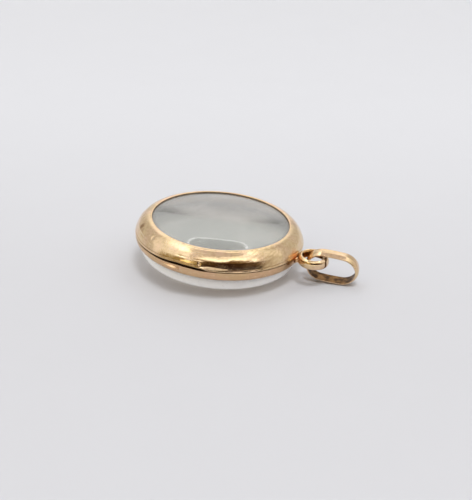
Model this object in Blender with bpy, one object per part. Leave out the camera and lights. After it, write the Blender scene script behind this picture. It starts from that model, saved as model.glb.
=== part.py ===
"""A round gold reliquary locket with a domed crystal on both faces, lying on its back crystal.

Metres, +Z up. The locket is turned about its own axis, called the case axis below, with the
seam between its two halves in the plane z = 0. It is then leant towards its bail and set
down, so that the small seat ground on the back crystal lies level at the world's origin.
"""

import math

import bmesh
import bpy
from mathutils import Matrix, Vector

MM = 0.001

# Whole locket
CASE_RADIUS = 12.5 * MM
LEAN = math.radians(4.0)
AROUND = 60
MERGE_WITHIN = 0.0001 * MM
SMOOTH_BELOW = math.radians(32.0)
SEAM_GAP = 0.20 * MM
FIT_GAP = 0.06 * MM

# Front bezel, the domed gold frame that opens
FRONT_FRAME_WIDTH = 2.34 * MM
FRONT_LIP_HEIGHT = 2.35 * MM
FRONT_LIP_WALL = 0.11 * MM
FRONT_DOME_FOOT = 0.62 * MM
FRONT_DOME_SLOPE = math.radians(31.5)
FRONT_DOME_REACH = 1.35 * MM
FRONT_DOME_SHOULDER = 0.55 * MM
FRONT_DOME_STEPS = 9
FRONT_GROOVE_DEPTH = 0.05 * MM
FRONT_GROOVE_WIDTH = 0.07 * MM
FRONT_WALL = 0.45 * MM
FRONT_INNER_HEIGHT = 0.78 * MM
FRONT_INNER_SHOULDER = 0.47 * MM
FRONT_LEDGE_WIDTH = 0.43 * MM
FRONT_LEDGE_WALL = 0.20 * MM

# Front crystal
FRONT_CRYSTAL_LAP = 0.56 * MM
FRONT_CRYSTAL_DROP = 0.08 * MM
FRONT_CRYSTAL_CURVE = 47.5 * MM
FRONT_CRYSTAL_WALL = 0.75 * MM
FRONT_CRYSTAL_RIM = 0.42 * MM
FRONT_BEVEL_WIDTH = 0.60 * MM
FRONT_BEVEL_DROP = 0.42 * MM
CRYSTAL_STEPS = 5

# Back bezel, the gold frame that carries the bail
BACK_TOP_INSET = 0.05 * MM
BACK_DEPTH = 1.43 * MM
BACK_FOOT_WIDTH = 0.49 * MM
BACK_SHOULDER_HEIGHT = 0.65 * MM
BACK_CHEEK_HEIGHT = 1.15 * MM
BACK_CHEEK_INSET = 0.06 * MM
BACK_CHEEK_STEPS = 6
BACK_LIP_DROP = 0.07 * MM
BACK_LIP_HEIGHT = 0.42 * MM
BACK_WALL = 0.50 * MM
COLLAR_OUTER_GAP = 0.15 * MM
COLLAR_WALL = 0.40 * MM
COLLAR_RISE = 0.60 * MM
COLLAR_FOOT = 0.45 * MM

# Back crystal, which the locket lies on
BACK_CRYSTAL_RIM = 0.39 * MM
BACK_CRYSTAL_DEPTH = 5.03 * MM
BACK_CRYSTAL_WALL = 0.90 * MM
BACK_CRYSTAL_SHOULDER = 1.90 * MM
BACK_CRYSTAL_CROWN_SLOPE = 0.26
SHOULDER_REACH = 0.62
SHOULDER_RISE = 0.45
SHOULDER_STEPS = 6
BACK_CRYSTAL_WALL_SHOWN = 0.33 * MM
SEAT_INNER_RADIUS = 0.50 * MM
SEAT_OUTER_RADIUS = 2.30 * MM

# Hinge on the far side, thumb lip opposite it
HINGE_AZIMUTH = math.radians(108.0)
KNUCKLE_RADIUS = 0.55 * MM
KNUCKLE_CASE_GAP = 0.15 * MM
KNUCKLE_SIDES = 16
PIN_SIDES = 12
FRONT_KNUCKLE_LENGTH = 1.90 * MM
BACK_KNUCKLE_LENGTH = 1.60 * MM
KNUCKLE_GAP = 0.12 * MM
PIN_RADIUS = 0.25 * MM
PIN_CLEARANCE = 0.05 * MM
PIN_HOLE_OVERRUN = 0.50 * MM
TONGUE_THICKNESS = 0.38 * MM
TONGUE_STEP = 0.02 * MM
FRONT_TONGUE_BITE = 0.30 * MM
BACK_TONGUE_BITE = 0.48 * MM

THUMB_LIP_HALF_ANGLE = math.radians(9.0)
THUMB_LIP_REACH = 0.46 * MM
THUMB_LIP_SINK = 0.05 * MM
THUMB_LIP_FOOT = 0.30 * MM
THUMB_LIP_EDGE = 0.44 * MM
THUMB_LIP_EDGE_WALL = 0.10 * MM
THUMB_LIP_RISE = 0.42 * MM
THUMB_LIP_STEPS = 10

# Eye ring and its lug, both soldered to the back bezel
EYE_MIDDLE_RADIUS = 1.865 * MM
EYE_WALL = 0.69 * MM
EYE_HEIGHT = 1.40 * MM
EYE_DROP = 0.22 * MM
EYE_CASE_GAP = 0.07 * MM
EYE_SIDES = 32
EYE_SECTION_SIDES = 12
EYE_SECTION_POWER = 2.6
LUG_CASE_WIDTH = 2.6 * MM
LUG_EYE_WIDTH = 1.5 * MM
LUG_BITE = 0.35 * MM
LUG_TOP = 0.16 * MM
LUG_CASE_DEPTH = 1.00 * MM
LUG_EYE_DEPTH = 0.86 * MM
LUG_WAIST_WIDTH = 1.65 * MM
LUG_KEEL_SHARE = 0.8

# Bail, an upright flat link through the eye ring
BAIL_LENGTH = 7.69 * MM
BAIL_WIDTH = 1.40 * MM
BAIL_WALL = 0.37 * MM
BAIL_EDGE_ROUND = 0.12 * MM
BAIL_BEND_STEPS = 11
BAIL_NEAR_REACH = 1.315 * MM
BAIL_OVER_EYE = 0.09 * MM
BAIL_ASIDE = 0.92 * MM
BAIL_TURN = math.radians(8.2)
BAIL_PITCH = math.radians(5.0)
BAIL_LEAN = math.radians(9.4)

GOLD = (0.83, 0.60, 0.33, 1.0)
CLEAR = (0.93, 0.95, 0.94, 1.0)

FRONT_WINDOW_RADIUS = CASE_RADIUS - FRONT_FRAME_WIDTH
FRONT_CRYSTAL_RADIUS = FRONT_WINDOW_RADIUS + FRONT_CRYSTAL_LAP
FRONT_BEVEL_TOP = FRONT_LIP_HEIGHT - FRONT_LIP_WALL - FRONT_CRYSTAL_DROP
FRONT_BEVEL_FOOT = FRONT_BEVEL_TOP - FRONT_BEVEL_DROP
FRONT_BEVEL_RADIUS = FRONT_CRYSTAL_RADIUS - FRONT_BEVEL_WIDTH
BACK_TOP_RADIUS = CASE_RADIUS - BACK_TOP_INSET
BACK_GROOVE_RADIUS = BACK_TOP_RADIUS - BACK_WALL
BACK_CRYSTAL_RADIUS = BACK_GROOVE_RADIUS - FIT_GAP - BACK_CRYSTAL_RIM
BACK_CRYSTAL_CROWN_RADIUS = BACK_CRYSTAL_RADIUS - BACK_CRYSTAL_SHOULDER
BACK_LIP_RADIUS = BACK_CRYSTAL_RADIUS + FIT_GAP
BACK_FOOT_RADIUS = BACK_LIP_RADIUS + BACK_FOOT_WIDTH
BACK_LIP_TOP = -BACK_DEPTH - BACK_LIP_DROP + BACK_LIP_HEIGHT
BACK_CRYSTAL_WALL_FOOT = -BACK_DEPTH - BACK_LIP_DROP - BACK_CRYSTAL_WALL_SHOWN
HINGE_RADIUS = CASE_RADIUS + KNUCKLE_CASE_GAP + KNUCKLE_RADIUS
THUMB_LIP_AZIMUTH = HINGE_AZIMUTH - math.pi
EYE_CENTRE = Vector((CASE_RADIUS + EYE_CASE_GAP + EYE_WALL / 2 + EYE_MIDDLE_RADIUS, 0.0, -EYE_DROP))


def material(name, colour, metallic, roughness, transmission=0.0):
    """A Principled material."""
    made = bpy.data.materials.new(name)
    made.use_nodes = True
    shader = made.node_tree.nodes["Principled BSDF"]
    shader.inputs["Base Color"].default_value = colour
    shader.inputs["Metallic"].default_value = metallic
    shader.inputs["Roughness"].default_value = roughness
    shader.inputs["Transmission Weight"].default_value = transmission
    return made


def mesh_of(name, points, faces):
    """A mesh with its doubles merged and its faces turned outwards."""
    mesh = bpy.data.meshes.new(name)
    mesh.from_pydata([tuple(point) for point in points], [], faces)
    work = bmesh.new()
    work.from_mesh(mesh)
    bmesh.ops.remove_doubles(work, verts=work.verts, dist=MERGE_WITHIN)
    bmesh.ops.recalc_face_normals(work, faces=work.faces)
    work.to_mesh(mesh)
    work.free()
    return mesh


def grid_faces(rows, columns, close_rows):
    """Quads of a grid whose columns wrap round, and whose rows do too if asked."""
    last = rows if close_rows else rows - 1
    faces = []
    for row in range(last):
        after = (row + 1) % rows
        for column in range(columns):
            beside = (column + 1) % columns
            faces.append(
                (
                    row * columns + column,
                    row * columns + beside,
                    after * columns + beside,
                    after * columns + column,
                )
            )
    return faces


def turned(name, outline, sides, closed=True):
    """An outline of (radius, height) points turned round Z, with a flat side facing +X."""
    points = []
    for radius, height in outline:
        for side in range(sides):
            angle = (side + 0.5) * math.tau / sides
            points.append((radius * math.cos(angle), radius * math.sin(angle), height))
    return mesh_of(name, points, grid_faces(len(outline), sides, closed))


def swept(name, sections, closed):
    """Equal loops of points joined in turn, as a ring if closed and else with end caps."""
    columns = len(sections[0])
    points = [point for section in sections for point in section]
    faces = grid_faces(len(sections), columns, closed)
    if not closed:
        faces.append(tuple(range(columns)))
        faces.append(tuple((len(sections) - 1) * columns + column for column in range(columns)))
    return mesh_of(name, points, faces)


def bezier(start, start_handle, end_handle, end, steps):
    """Points along a cubic curve in (radius, height), both ends included."""
    points = []
    for step in range(steps + 1):
        t = step / steps
        weights = ((1 - t) ** 3, 3 * t * (1 - t) ** 2, 3 * t * t * (1 - t), t**3)
        corners = (start, start_handle, end_handle, end)
        radius = sum(weight * corner[0] for weight, corner in zip(weights, corners))
        height = sum(weight * corner[1] for weight, corner in zip(weights, corners))
        points.append((radius, height))
    return points


def cylinder(name, radius, length, sides):
    """A closed cylinder along X, centred on the origin."""
    outline = [(0.0, -length / 2), (radius, -length / 2), (radius, length / 2), (0.0, length / 2)]
    mesh = turned(name, outline, sides, closed=False)
    mesh.transform(Matrix.Rotation(math.pi / 2, 4, "Y"))
    return mesh


def box(name, low, high):
    """A closed box between two corners."""
    points = [(x, y, z) for x in (low[0], high[0]) for y in (low[1], high[1]) for z in (low[2], high[2])]
    faces = [(0, 1, 3, 2), (4, 6, 7, 5), (0, 4, 5, 1), (2, 3, 7, 6), (0, 2, 6, 4), (1, 5, 7, 3)]
    return mesh_of(name, points, faces)


def place(name, mesh, carrier, finish, origin=Vector((0.0, 0.0, 0.0))):
    """An object whose mesh is given in the case's frame and whose origin is at a chosen point."""
    mesh.transform(Matrix.Translation(-origin))
    made = bpy.data.objects.new(name, mesh)
    bpy.context.scene.collection.objects.link(made)
    made.parent = carrier
    made.location = origin
    mesh.materials.append(finish)
    mesh.shade_smooth()
    mesh.set_sharp_from_angle(angle=SMOOTH_BELOW)
    return made


def combine(target, helper, operation):
    """Joins a helper to a target, or cuts it out, with an exact Boolean that stays live."""
    helper.hide_render = True
    helper.display_type = "WIRE"
    step = target.modifiers.new(helper.name, "BOOLEAN")
    step.operation = operation
    step.solver = "EXACT"
    step.object = helper


def hinge_frame():
    """The hinge's own frame: X along the pin, Y out from the case, Z up."""
    out = Vector((math.cos(HINGE_AZIMUTH), math.sin(HINGE_AZIMUTH), 0.0))
    along = Vector((out.y, -out.x, 0.0))
    turn = Matrix((along, out, Vector((0.0, 0.0, 1.0)))).transposed().to_4x4()
    return Matrix.Translation(out * HINGE_RADIUS) @ turn


def back_knuckle_middle():
    return FRONT_KNUCKLE_LENGTH / 2 + KNUCKLE_GAP + BACK_KNUCKLE_LENGTH / 2


def hinge_length():
    return FRONT_KNUCKLE_LENGTH + 2 * (KNUCKLE_GAP + BACK_KNUCKLE_LENGTH)


def knuckle_pieces(name, middle, length, bite, upward):
    """A hinge tube and the flat tongue that ties it to its bezel, in the case's frame."""
    frame = hinge_frame()
    tube = cylinder(name + "_tube", KNUCKLE_RADIUS, length, KNUCKLE_SIDES)
    tube.transform(frame @ Matrix.Translation((middle, 0.0, 0.0)))
    near = upward * (SEAM_GAP / 2 + TONGUE_STEP)
    far = upward * (SEAM_GAP / 2 + TONGUE_THICKNESS)
    low = (middle - length / 2, CASE_RADIUS - bite - HINGE_RADIUS, min(near, far))
    high = (middle + length / 2, 0.0, max(near, far))
    tongue = box(name + "_tongue", low, high)
    tongue.transform(frame)
    return tube, tongue


def pin_hole(name, carrier, finish, origin):
    """The cutter that bores the knuckles for the pin."""
    length = hinge_length() + 2 * PIN_HOLE_OVERRUN
    mesh = cylinder(name, PIN_RADIUS + PIN_CLEARANCE, length, KNUCKLE_SIDES)
    mesh.transform(hinge_frame())
    return place(name, mesh, carrier, finish, origin)


def front_dome():
    """The domed outside of the front bezel, from the window's edge down to its upright foot."""
    start = (FRONT_WINDOW_RADIUS, FRONT_LIP_HEIGHT)
    start_handle = (
        FRONT_WINDOW_RADIUS + FRONT_DOME_REACH * math.cos(FRONT_DOME_SLOPE),
        FRONT_LIP_HEIGHT - FRONT_DOME_REACH * math.sin(FRONT_DOME_SLOPE),
    )
    end = (CASE_RADIUS, FRONT_DOME_FOOT)
    end_handle = (CASE_RADIUS, FRONT_DOME_FOOT + FRONT_DOME_SHOULDER)
    return bezier(start, start_handle, end_handle, end, FRONT_DOME_STEPS)


def cap_point(radius, edge_height):
    """A point of the shallow spherical cap that has this height at the crystal's bevel."""
    at_radius = math.sqrt(FRONT_CRYSTAL_CURVE**2 - radius**2)
    at_bevel = math.sqrt(FRONT_CRYSTAL_CURVE**2 - FRONT_BEVEL_RADIUS**2)
    return radius, edge_height + at_radius - at_bevel


def front_bezel_outline():
    """Section of the front bezel, from the window's edge round the outside and back inside."""
    seat = FRONT_CRYSTAL_RADIUS + FIT_GAP
    ledge_top = FRONT_BEVEL_FOOT - FRONT_CRYSTAL_RIM - FIT_GAP
    inner = CASE_RADIUS - FRONT_WALL
    groove = CASE_RADIUS - FRONT_GROOVE_DEPTH
    groove_foot = FRONT_DOME_FOOT - FRONT_GROOVE_WIDTH
    outline = front_dome()
    outline += [
        (groove, FRONT_DOME_FOOT - FRONT_GROOVE_WIDTH / 2),
        (CASE_RADIUS, groove_foot),
        (CASE_RADIUS, SEAM_GAP / 2),
        (inner, SEAM_GAP / 2),
        (inner, FRONT_INNER_HEIGHT),
        (inner - FRONT_INNER_SHOULDER, ledge_top - FRONT_LEDGE_WALL),
        (seat - FRONT_LEDGE_WIDTH, ledge_top - FRONT_LEDGE_WALL),
        (seat - FRONT_LEDGE_WIDTH, ledge_top),
        (seat, ledge_top),
        (seat, FRONT_BEVEL_FOOT + FIT_GAP),
        (FRONT_WINDOW_RADIUS, FRONT_LIP_HEIGHT - FRONT_LIP_WALL),
    ]
    return outline


def thumb_lip_mesh():
    """A crescent nib on the front bezel's foot: a wedge that swells in the middle of its arc."""
    sections = []
    for step in range(THUMB_LIP_STEPS + 1):
        share = 2 * step / THUMB_LIP_STEPS - 1
        swell = 1 - share**2
        angle = THUMB_LIP_AZIMUTH + share * THUMB_LIP_HALF_ANGLE
        reach = CASE_RADIUS - THUMB_LIP_SINK + THUMB_LIP_REACH * swell
        root = CASE_RADIUS - FRONT_WALL / 2
        crest = THUMB_LIP_EDGE + THUMB_LIP_EDGE_WALL
        corners = (
            (root, THUMB_LIP_FOOT),
            (reach, THUMB_LIP_EDGE),
            (reach, crest),
            (root, crest + THUMB_LIP_SINK + THUMB_LIP_RISE * swell),
        )
        sections.append([(r * math.cos(angle), r * math.sin(angle), z) for r, z in corners])
    return swept("thumb_lip", sections, closed=False)


def front_bezel(carrier, finish, origin):
    frame = turned("front_bezel", front_bezel_outline(), AROUND)
    made = place("front_bezel", frame, carrier, finish, origin)
    lip = place("thumb_lip", thumb_lip_mesh(), carrier, finish, origin)
    combine(made, lip, "UNION")
    tube, tongue = knuckle_pieces("front_knuckle", 0.0, FRONT_KNUCKLE_LENGTH, FRONT_TONGUE_BITE, 1)
    combine(made, place(tongue.name, tongue, carrier, finish, origin), "UNION")
    combine(made, place(tube.name, tube, carrier, finish, origin), "UNION")
    combine(made, pin_hole("front_pin_hole", carrier, finish, origin), "DIFFERENCE")
    return made


def front_crystal(carrier, finish, origin):
    """A shallow dome of even wall with a bevelled rim under the bezel's lip."""
    shares = [step / CRYSTAL_STEPS for step in range(CRYSTAL_STEPS + 1)]
    over = [cap_point(FRONT_BEVEL_RADIUS * share, FRONT_BEVEL_TOP) for share in shares]
    rim_foot = FRONT_BEVEL_FOOT - FRONT_CRYSTAL_RIM
    rim = [
        (FRONT_CRYSTAL_RADIUS, FRONT_BEVEL_FOOT),
        (FRONT_CRYSTAL_RADIUS, rim_foot),
        (FRONT_BEVEL_RADIUS, rim_foot),
    ]
    inner_edge = FRONT_BEVEL_RADIUS - FRONT_CRYSTAL_WALL / 2
    under = [cap_point(inner_edge * share, FRONT_BEVEL_TOP - FRONT_CRYSTAL_WALL) for share in shares]
    under.reverse()
    outline = over + rim + under
    dome = turned("front_crystal", outline, AROUND, closed=False)
    return place("front_crystal", dome, carrier, finish, origin)


def back_bezel_outline():
    """Section of the back bezel with the collar that stands up inside the front bezel."""
    top = -SEAM_GAP / 2
    outside = bezier(
        (BACK_TOP_RADIUS, top),
        (BACK_TOP_RADIUS, top - BACK_SHOULDER_HEIGHT),
        (BACK_TOP_RADIUS - BACK_CHEEK_INSET, top - BACK_CHEEK_HEIGHT),
        (BACK_FOOT_RADIUS, -BACK_DEPTH),
        BACK_CHEEK_STEPS,
    )
    collar_outer = CASE_RADIUS - FRONT_WALL - COLLAR_OUTER_GAP
    collar_inner = collar_outer - COLLAR_WALL
    return outside + [
        (BACK_LIP_RADIUS, -BACK_DEPTH - BACK_LIP_DROP),
        (BACK_LIP_RADIUS, BACK_LIP_TOP),
        (BACK_GROOVE_RADIUS, BACK_LIP_TOP),
        (BACK_GROOVE_RADIUS, -COLLAR_FOOT),
        (collar_inner, -COLLAR_FOOT),
        (collar_inner, COLLAR_RISE),
        (collar_outer, COLLAR_RISE),
        (collar_outer, top),
    ]


def eye_mesh():
    """A short tube with rounded edges, turned round the eye's own upright axis."""
    outline = []
    for step in range(EYE_SECTION_SIDES):
        angle = (step + 0.5) * math.tau / EYE_SECTION_SIDES
        across, up = math.cos(angle), math.sin(angle)
        power = EYE_SECTION_POWER
        squared = (abs(across) ** power + abs(up) ** power) ** (-1 / power)
        outline.append(
            (EYE_MIDDLE_RADIUS + EYE_WALL / 2 * squared * across, EYE_HEIGHT / 2 * squared * up)
        )
    mesh = turned("eye_ring", outline, EYE_SIDES)
    mesh.transform(Matrix.Translation(EYE_CENTRE))
    return mesh


def lug_mesh():
    """A tapered bridge from the back bezel's wall into the eye ring's wall."""
    case_end = CASE_RADIUS - LUG_BITE
    eye_end = EYE_CENTRE.x - EYE_MIDDLE_RADIUS
    sections = []
    for reach, width, depth in (
        (case_end, LUG_CASE_WIDTH, LUG_CASE_DEPTH),
        ((case_end + eye_end) / 2, LUG_WAIST_WIDTH, LUG_EYE_DEPTH),
        (eye_end, LUG_EYE_WIDTH, LUG_EYE_DEPTH),
    ):
        half = width / 2
        sections.append(
            [
                (reach, -half, -LUG_TOP),
                (reach, half, -LUG_TOP),
                (reach, half * LUG_KEEL_SHARE, -depth),
                (reach, -half * LUG_KEEL_SHARE, -depth),
            ]
        )
    return swept("lug", sections, closed=False)


def back_bezel(carrier, finish):
    made = place("back_bezel", turned("back_bezel", back_bezel_outline(), AROUND), carrier, finish)
    combine(made, place("eye_lug", lug_mesh(), carrier, finish), "UNION")
    combine(made, place("eye_ring", eye_mesh(), carrier, finish), "UNION")
    for name, side in (("left", -1), ("right", 1)):
        middle = side * back_knuckle_middle()
        tube, tongue = knuckle_pieces(
            name + "_knuckle", middle, BACK_KNUCKLE_LENGTH, BACK_TONGUE_BITE, -1
        )
        combine(made, place(tongue.name, tongue, carrier, finish), "UNION")
        combine(made, place(tube.name, tube, carrier, finish), "UNION")
    combine(made, pin_hole("back_pin_hole", carrier, finish, Vector((0.0, 0.0, 0.0))), "DIFFERENCE")
    return made


def crown_height(radius, rise):
    """Height of the back crystal's crown: level, then the seat's cone, then a parabola."""
    seat_slope = math.tan(LEAN) * math.cos(math.pi / AROUND)
    along_seat = min(max(radius - SEAT_INNER_RADIUS, 0.0), SEAT_OUTER_RADIUS - SEAT_INNER_RADIUS)
    beyond = max(radius - SEAT_OUTER_RADIUS, 0.0)
    bend = (BACK_CRYSTAL_CROWN_SLOPE - seat_slope) / (BACK_CRYSTAL_CROWN_RADIUS - SEAT_OUTER_RADIUS)
    return -BACK_CRYSTAL_DEPTH + rise + seat_slope * (along_seat + beyond) + bend * beyond**2 / 2


def crown_outline(edge, rise):
    """The back crystal's crown from its middle out to just short of an edge radius."""
    stride = (edge - SEAT_OUTER_RADIUS) / CRYSTAL_STEPS
    radii = [0.0, SEAT_INNER_RADIUS]
    radii += [SEAT_OUTER_RADIUS + stride * step for step in range(CRYSTAL_STEPS)]
    return [(radius, crown_height(radius, rise)) for radius in radii]


def crystal_side(radius, crown_radius, rise):
    """The back crystal's rounded shoulder, from its crown up to its upright wall."""
    start = (crown_radius, crown_height(crown_radius, rise))
    reach = (radius - crown_radius) * SHOULDER_REACH
    start_handle = (start[0] + reach, start[1] + reach * BACK_CRYSTAL_CROWN_SLOPE)
    end = (radius, BACK_CRYSTAL_WALL_FOOT)
    end_handle = (radius, start[1] + (end[1] - start[1]) * SHOULDER_RISE)
    return bezier(start, start_handle, end_handle, end, SHOULDER_STEPS)


def back_crystal(carrier, finish):
    """A deep dome with steep sides, whose rim is held in the back bezel's groove."""
    outside = crown_outline(BACK_CRYSTAL_CROWN_RADIUS, 0.0)
    outside += crystal_side(BACK_CRYSTAL_RADIUS, BACK_CRYSTAL_CROWN_RADIUS, 0.0)
    rim_radius = BACK_GROOVE_RADIUS - FIT_GAP
    rim_top = -COLLAR_FOOT - FIT_GAP
    wall_radius = BACK_CRYSTAL_RADIUS - BACK_CRYSTAL_WALL
    rim = [
        (BACK_CRYSTAL_RADIUS, BACK_LIP_TOP + FIT_GAP),
        (rim_radius, BACK_LIP_TOP + FIT_GAP),
        (rim_radius, rim_top),
        (wall_radius, rim_top),
    ]
    crown_edge = BACK_CRYSTAL_CROWN_RADIUS - BACK_CRYSTAL_WALL * SHOULDER_REACH
    inside = crown_outline(crown_edge, BACK_CRYSTAL_WALL)
    inside += crystal_side(wall_radius, crown_edge, BACK_CRYSTAL_WALL)
    inside.reverse()
    outline = outside + rim + inside
    return place("back_crystal", turned("back_crystal", outline, AROUND, closed=False), carrier, finish)


def hinge_pin(carrier, finish):
    mesh = cylinder("hinge_pin", PIN_RADIUS, hinge_length(), PIN_SIDES)
    mesh.transform(hinge_frame())
    return place("hinge_pin", mesh, carrier, finish)


def bail_height(eye_top):
    """Outer height at which the bail stands on the surface and passes just over the eye ring's far side."""
    level = math.cos(BAIL_PITCH) * math.cos(BAIL_LEAN)
    drop = math.sin(BAIL_PITCH)
    to_far_side = BAIL_LENGTH / 2 - BAIL_NEAR_REACH - EYE_MIDDLE_RADIUS
    under = BAIL_WIDTH / 2 * math.sin(BAIL_LEAN) + (BAIL_LENGTH / 2 + to_far_side) * drop
    return (eye_top + BAIL_OVER_EYE + BAIL_WALL * level - under) / (level - drop / 2)


def bail_mesh(height):
    """A flat strip bent into a link with straight sides, upright in XZ and centred on the origin."""
    bend = height / 2
    straight = BAIL_LENGTH / 2 - bend
    half = BAIL_WIDTH / 2
    corner = BAIL_EDGE_ROUND
    section = (
        (0.0, half - corner),
        (-corner, half),
        (-BAIL_WALL + corner, half),
        (-BAIL_WALL, half - corner),
        (-BAIL_WALL, corner - half),
        (-BAIL_WALL + corner, -half),
        (-corner, -half),
        (0.0, corner - half),
    )
    sections = []
    for end in (1, -1):
        for step in range(BAIL_BEND_STEPS + 1):
            angle = -math.pi / 2 + math.pi * step / BAIL_BEND_STEPS
            out_x, out_z = end * math.cos(angle), end * math.sin(angle)
            sections.append(
                [
                    (end * straight + (bend + depth) * out_x, across, (bend + depth) * out_z)
                    for depth, across in section
                ]
            )
    return swept("bail", sections, closed=True)


def bail(seat, finish):
    """The bail is placed in the world: it stands on the surface and leans on the eye ring."""
    eye = seat @ EYE_CENTRE
    eye_top = (seat @ (EYE_CENTRE + Vector((EYE_MIDDLE_RADIUS, 0.0, EYE_HEIGHT / 2)))).z
    turn = Matrix.Rotation(BAIL_TURN, 4, "Z") @ Matrix.Rotation(BAIL_PITCH, 4, "Y")
    turn = turn @ Matrix.Rotation(BAIL_LEAN, 4, "X")
    made = place("bail", bail_mesh(bail_height(eye_top)), None, finish)
    lowest = min((turn @ vertex.co).z for vertex in made.data.vertices)
    along = BAIL_LENGTH / 2 - BAIL_NEAR_REACH
    made.matrix_world = Matrix.Translation((eye.x + along, eye.y + BAIL_ASIDE, -lowest)) @ turn
    return made


def seat_frame():
    """The case's frame in the world: leant towards the bail, with its seat at the origin."""
    lean = Matrix.Rotation(LEAN, 4, "Y")
    middle = (SEAT_INNER_RADIUS + SEAT_OUTER_RADIUS) / 2
    seat = Vector((middle * math.cos(math.pi / AROUND), 0.0, crown_height(middle, 0.0)))
    return Matrix.Translation(-(lean @ seat)) @ lean


def empty(name, carrier, frame):
    made = bpy.data.objects.new(name, None)
    bpy.context.scene.collection.objects.link(made)
    made.parent = carrier
    made.matrix_local = frame
    return made


def main():
    for old in list(bpy.data.objects):
        bpy.data.objects.remove(old, do_unlink=True)
    seat = seat_frame()
    case = empty("case", None, seat)
    hinge_point = hinge_frame().translation
    front_bezel(case, material("front_gold", GOLD, 1.0, 0.16), hinge_point)
    front_crystal(case, material("front_glass", CLEAR, 0.0, 0.03, 1.0), hinge_point)
    back_bezel(case, material("back_gold", GOLD, 1.0, 0.18))
    back_crystal(case, material("back_glass", CLEAR, 0.0, 0.03, 1.0))
    hinge_pin(case, material("pin_gold", GOLD, 1.0, 0.25))
    bail(seat, material("bail_gold", GOLD, 1.0, 0.18))


main()
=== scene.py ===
"""Looks of a round gold reliquary locket with a domed crystal on both faces.

It lies on its back crystal. Shapes are worked out with numpy in millimetres. The case's pieces are
made in the case's own frame, with the case axis along Z and the seam in the plane z = 0, and are
then leant and set down on the seat that is ground on the back crystal. The bail is made upright
about its own middle and set down too.
"""

import math

import bmesh
import bpy
import numpy as np
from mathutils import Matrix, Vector


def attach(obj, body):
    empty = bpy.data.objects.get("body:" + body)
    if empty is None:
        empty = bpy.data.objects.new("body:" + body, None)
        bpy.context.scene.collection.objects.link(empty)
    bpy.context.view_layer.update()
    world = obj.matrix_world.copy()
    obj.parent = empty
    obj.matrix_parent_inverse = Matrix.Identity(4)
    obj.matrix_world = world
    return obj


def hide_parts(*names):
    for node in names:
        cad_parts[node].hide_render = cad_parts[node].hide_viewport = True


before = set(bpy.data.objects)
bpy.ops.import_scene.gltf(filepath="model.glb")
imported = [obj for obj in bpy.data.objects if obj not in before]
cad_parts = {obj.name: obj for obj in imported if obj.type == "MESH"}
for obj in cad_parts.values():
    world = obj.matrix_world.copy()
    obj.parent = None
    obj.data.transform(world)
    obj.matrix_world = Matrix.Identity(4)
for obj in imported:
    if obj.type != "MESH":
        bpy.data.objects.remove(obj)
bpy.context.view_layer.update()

MM = 0.001
TAU = 2 * math.pi

# Case, as in the solids
CASE_RADIUS = 12.5
LEAN = math.radians(4.0)
SEAT_SIDES = 60
SEAM_GAP = 0.20
# The worn seam. Each row: angle in degrees, height of the front's edge, height of the back's
SEAM_EDGES = (
    (0.0, -0.02, -0.13),
    (60.0, -0.02, -0.13),
    (95.0, 0.10, -0.10),
    (180.0, 0.10, -0.10),
    (205.0, -0.12, -0.26),
    (225.0, -0.24, -0.40),
    (240.0, -0.08, -0.28),
    (250.0, 0.02, -0.28),
    (257.0, 0.16, -0.20),
    (264.0, 0.30, -0.08),
    (273.0, 0.28, -0.10),
    (279.0, 0.20, -0.16),
    (282.0, 0.16, -0.18),
    (284.5, -0.02, -0.13),
    (360.0, -0.02, -0.13),
)
# Heights between which the seam's wander fades out in each half
FRONT_SEAM_FADE = (0.1, 1.7)
BACK_SEAM_FADE = (-0.9, -0.15)
AROUND = 288
ANGLES = np.linspace(0.0, TAU, AROUND, endpoint=False)
SMOOTH_BELOW = math.radians(38.0)

# Front bezel
WINDOW_RADIUS = 10.16
LIP_HEIGHT = 2.35
LIP_WALL = 0.19
LIP_ROUND = 0.08
BEAD_WIDTH = 0.56
BEAD_SLOPE = math.radians(-1.0)
BEAD_DROP = 0.115
BEAD_STEP = 0.01
BEAD_STEPS = 6
DOME_FOOT = 0.44
DOME_SLOPE = math.radians(22.0)
DOME_REACH = 1.5
DOME_SHOULDER = 0.60
DOME_FOOT_INSET = 0.11
DOME_FOOT_SLOPE = math.radians(69.0)
DOME_STEPS = 26
GROOVE_DEPTH = 0.07
GROOVE_WIDTH = 0.09
INNER_RADIUS = 12.05
INNER_HEIGHT = 0.78
INNER_SHOULDER = 0.47
SEAT_RADIUS = 10.78
LEDGE_WIDTH = 0.43
LEDGE_TOP = 1.26
LEDGE_WALL = 0.20

# Front crystal
FRONT_GLASS_RADIUS = 10.72
FRONT_GLASS_CURVE = 47.5
FRONT_GLASS_WALL = 0.75
FRONT_GLASS_RIM = 0.42
BEVEL_RADIUS = 10.12
BEVEL_TOP = 2.16
BEVEL_FOOT = 1.74
# Painted shade in the window, dark patches under its lip at both ends where the case's inside lies
# in shadow: azimuth, radius, length along the radius, width, strength
GLASS_PAINTED_SHADE = (
    (-170.0, 9.6, 1.3, 1.0, 0.45),
    (-166.0, 7.4, 1.8, 0.35, 0.22),
    (24.0, 9.6, 1.3, 0.9, 0.40),
    (16.0, 7.6, 2.0, 0.40, 0.20),
)

# Back bezel
BACK_TOP_RADIUS = 12.45
BACK_DEPTH = 1.43
BACK_SHOULDER_HEIGHT = 0.65
BACK_CHEEK_HEIGHT = 1.15
BACK_CHEEK_INSET = 0.06
BACK_CHEEK_STEPS = 16
# Painted shade on the lowest steps of the cheek, a painted reflection of the shaded floor under the
# lip
BACK_CHEEK_PAINTED_SHADE = 0.65
BACK_CHEEK_SHADED_FROM = 11
BACK_FOOT_RADIUS = 12.05
BACK_LIP_RADIUS = 11.56
BACK_LIP_FOOT = -1.50
BACK_LIP_TOP = -1.08
BACK_GROOVE_RADIUS = 11.95
COLLAR_OUTER = 11.90
COLLAR_INNER = 11.50
COLLAR_RISE = 0.60
COLLAR_FOOT = 0.45

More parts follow.
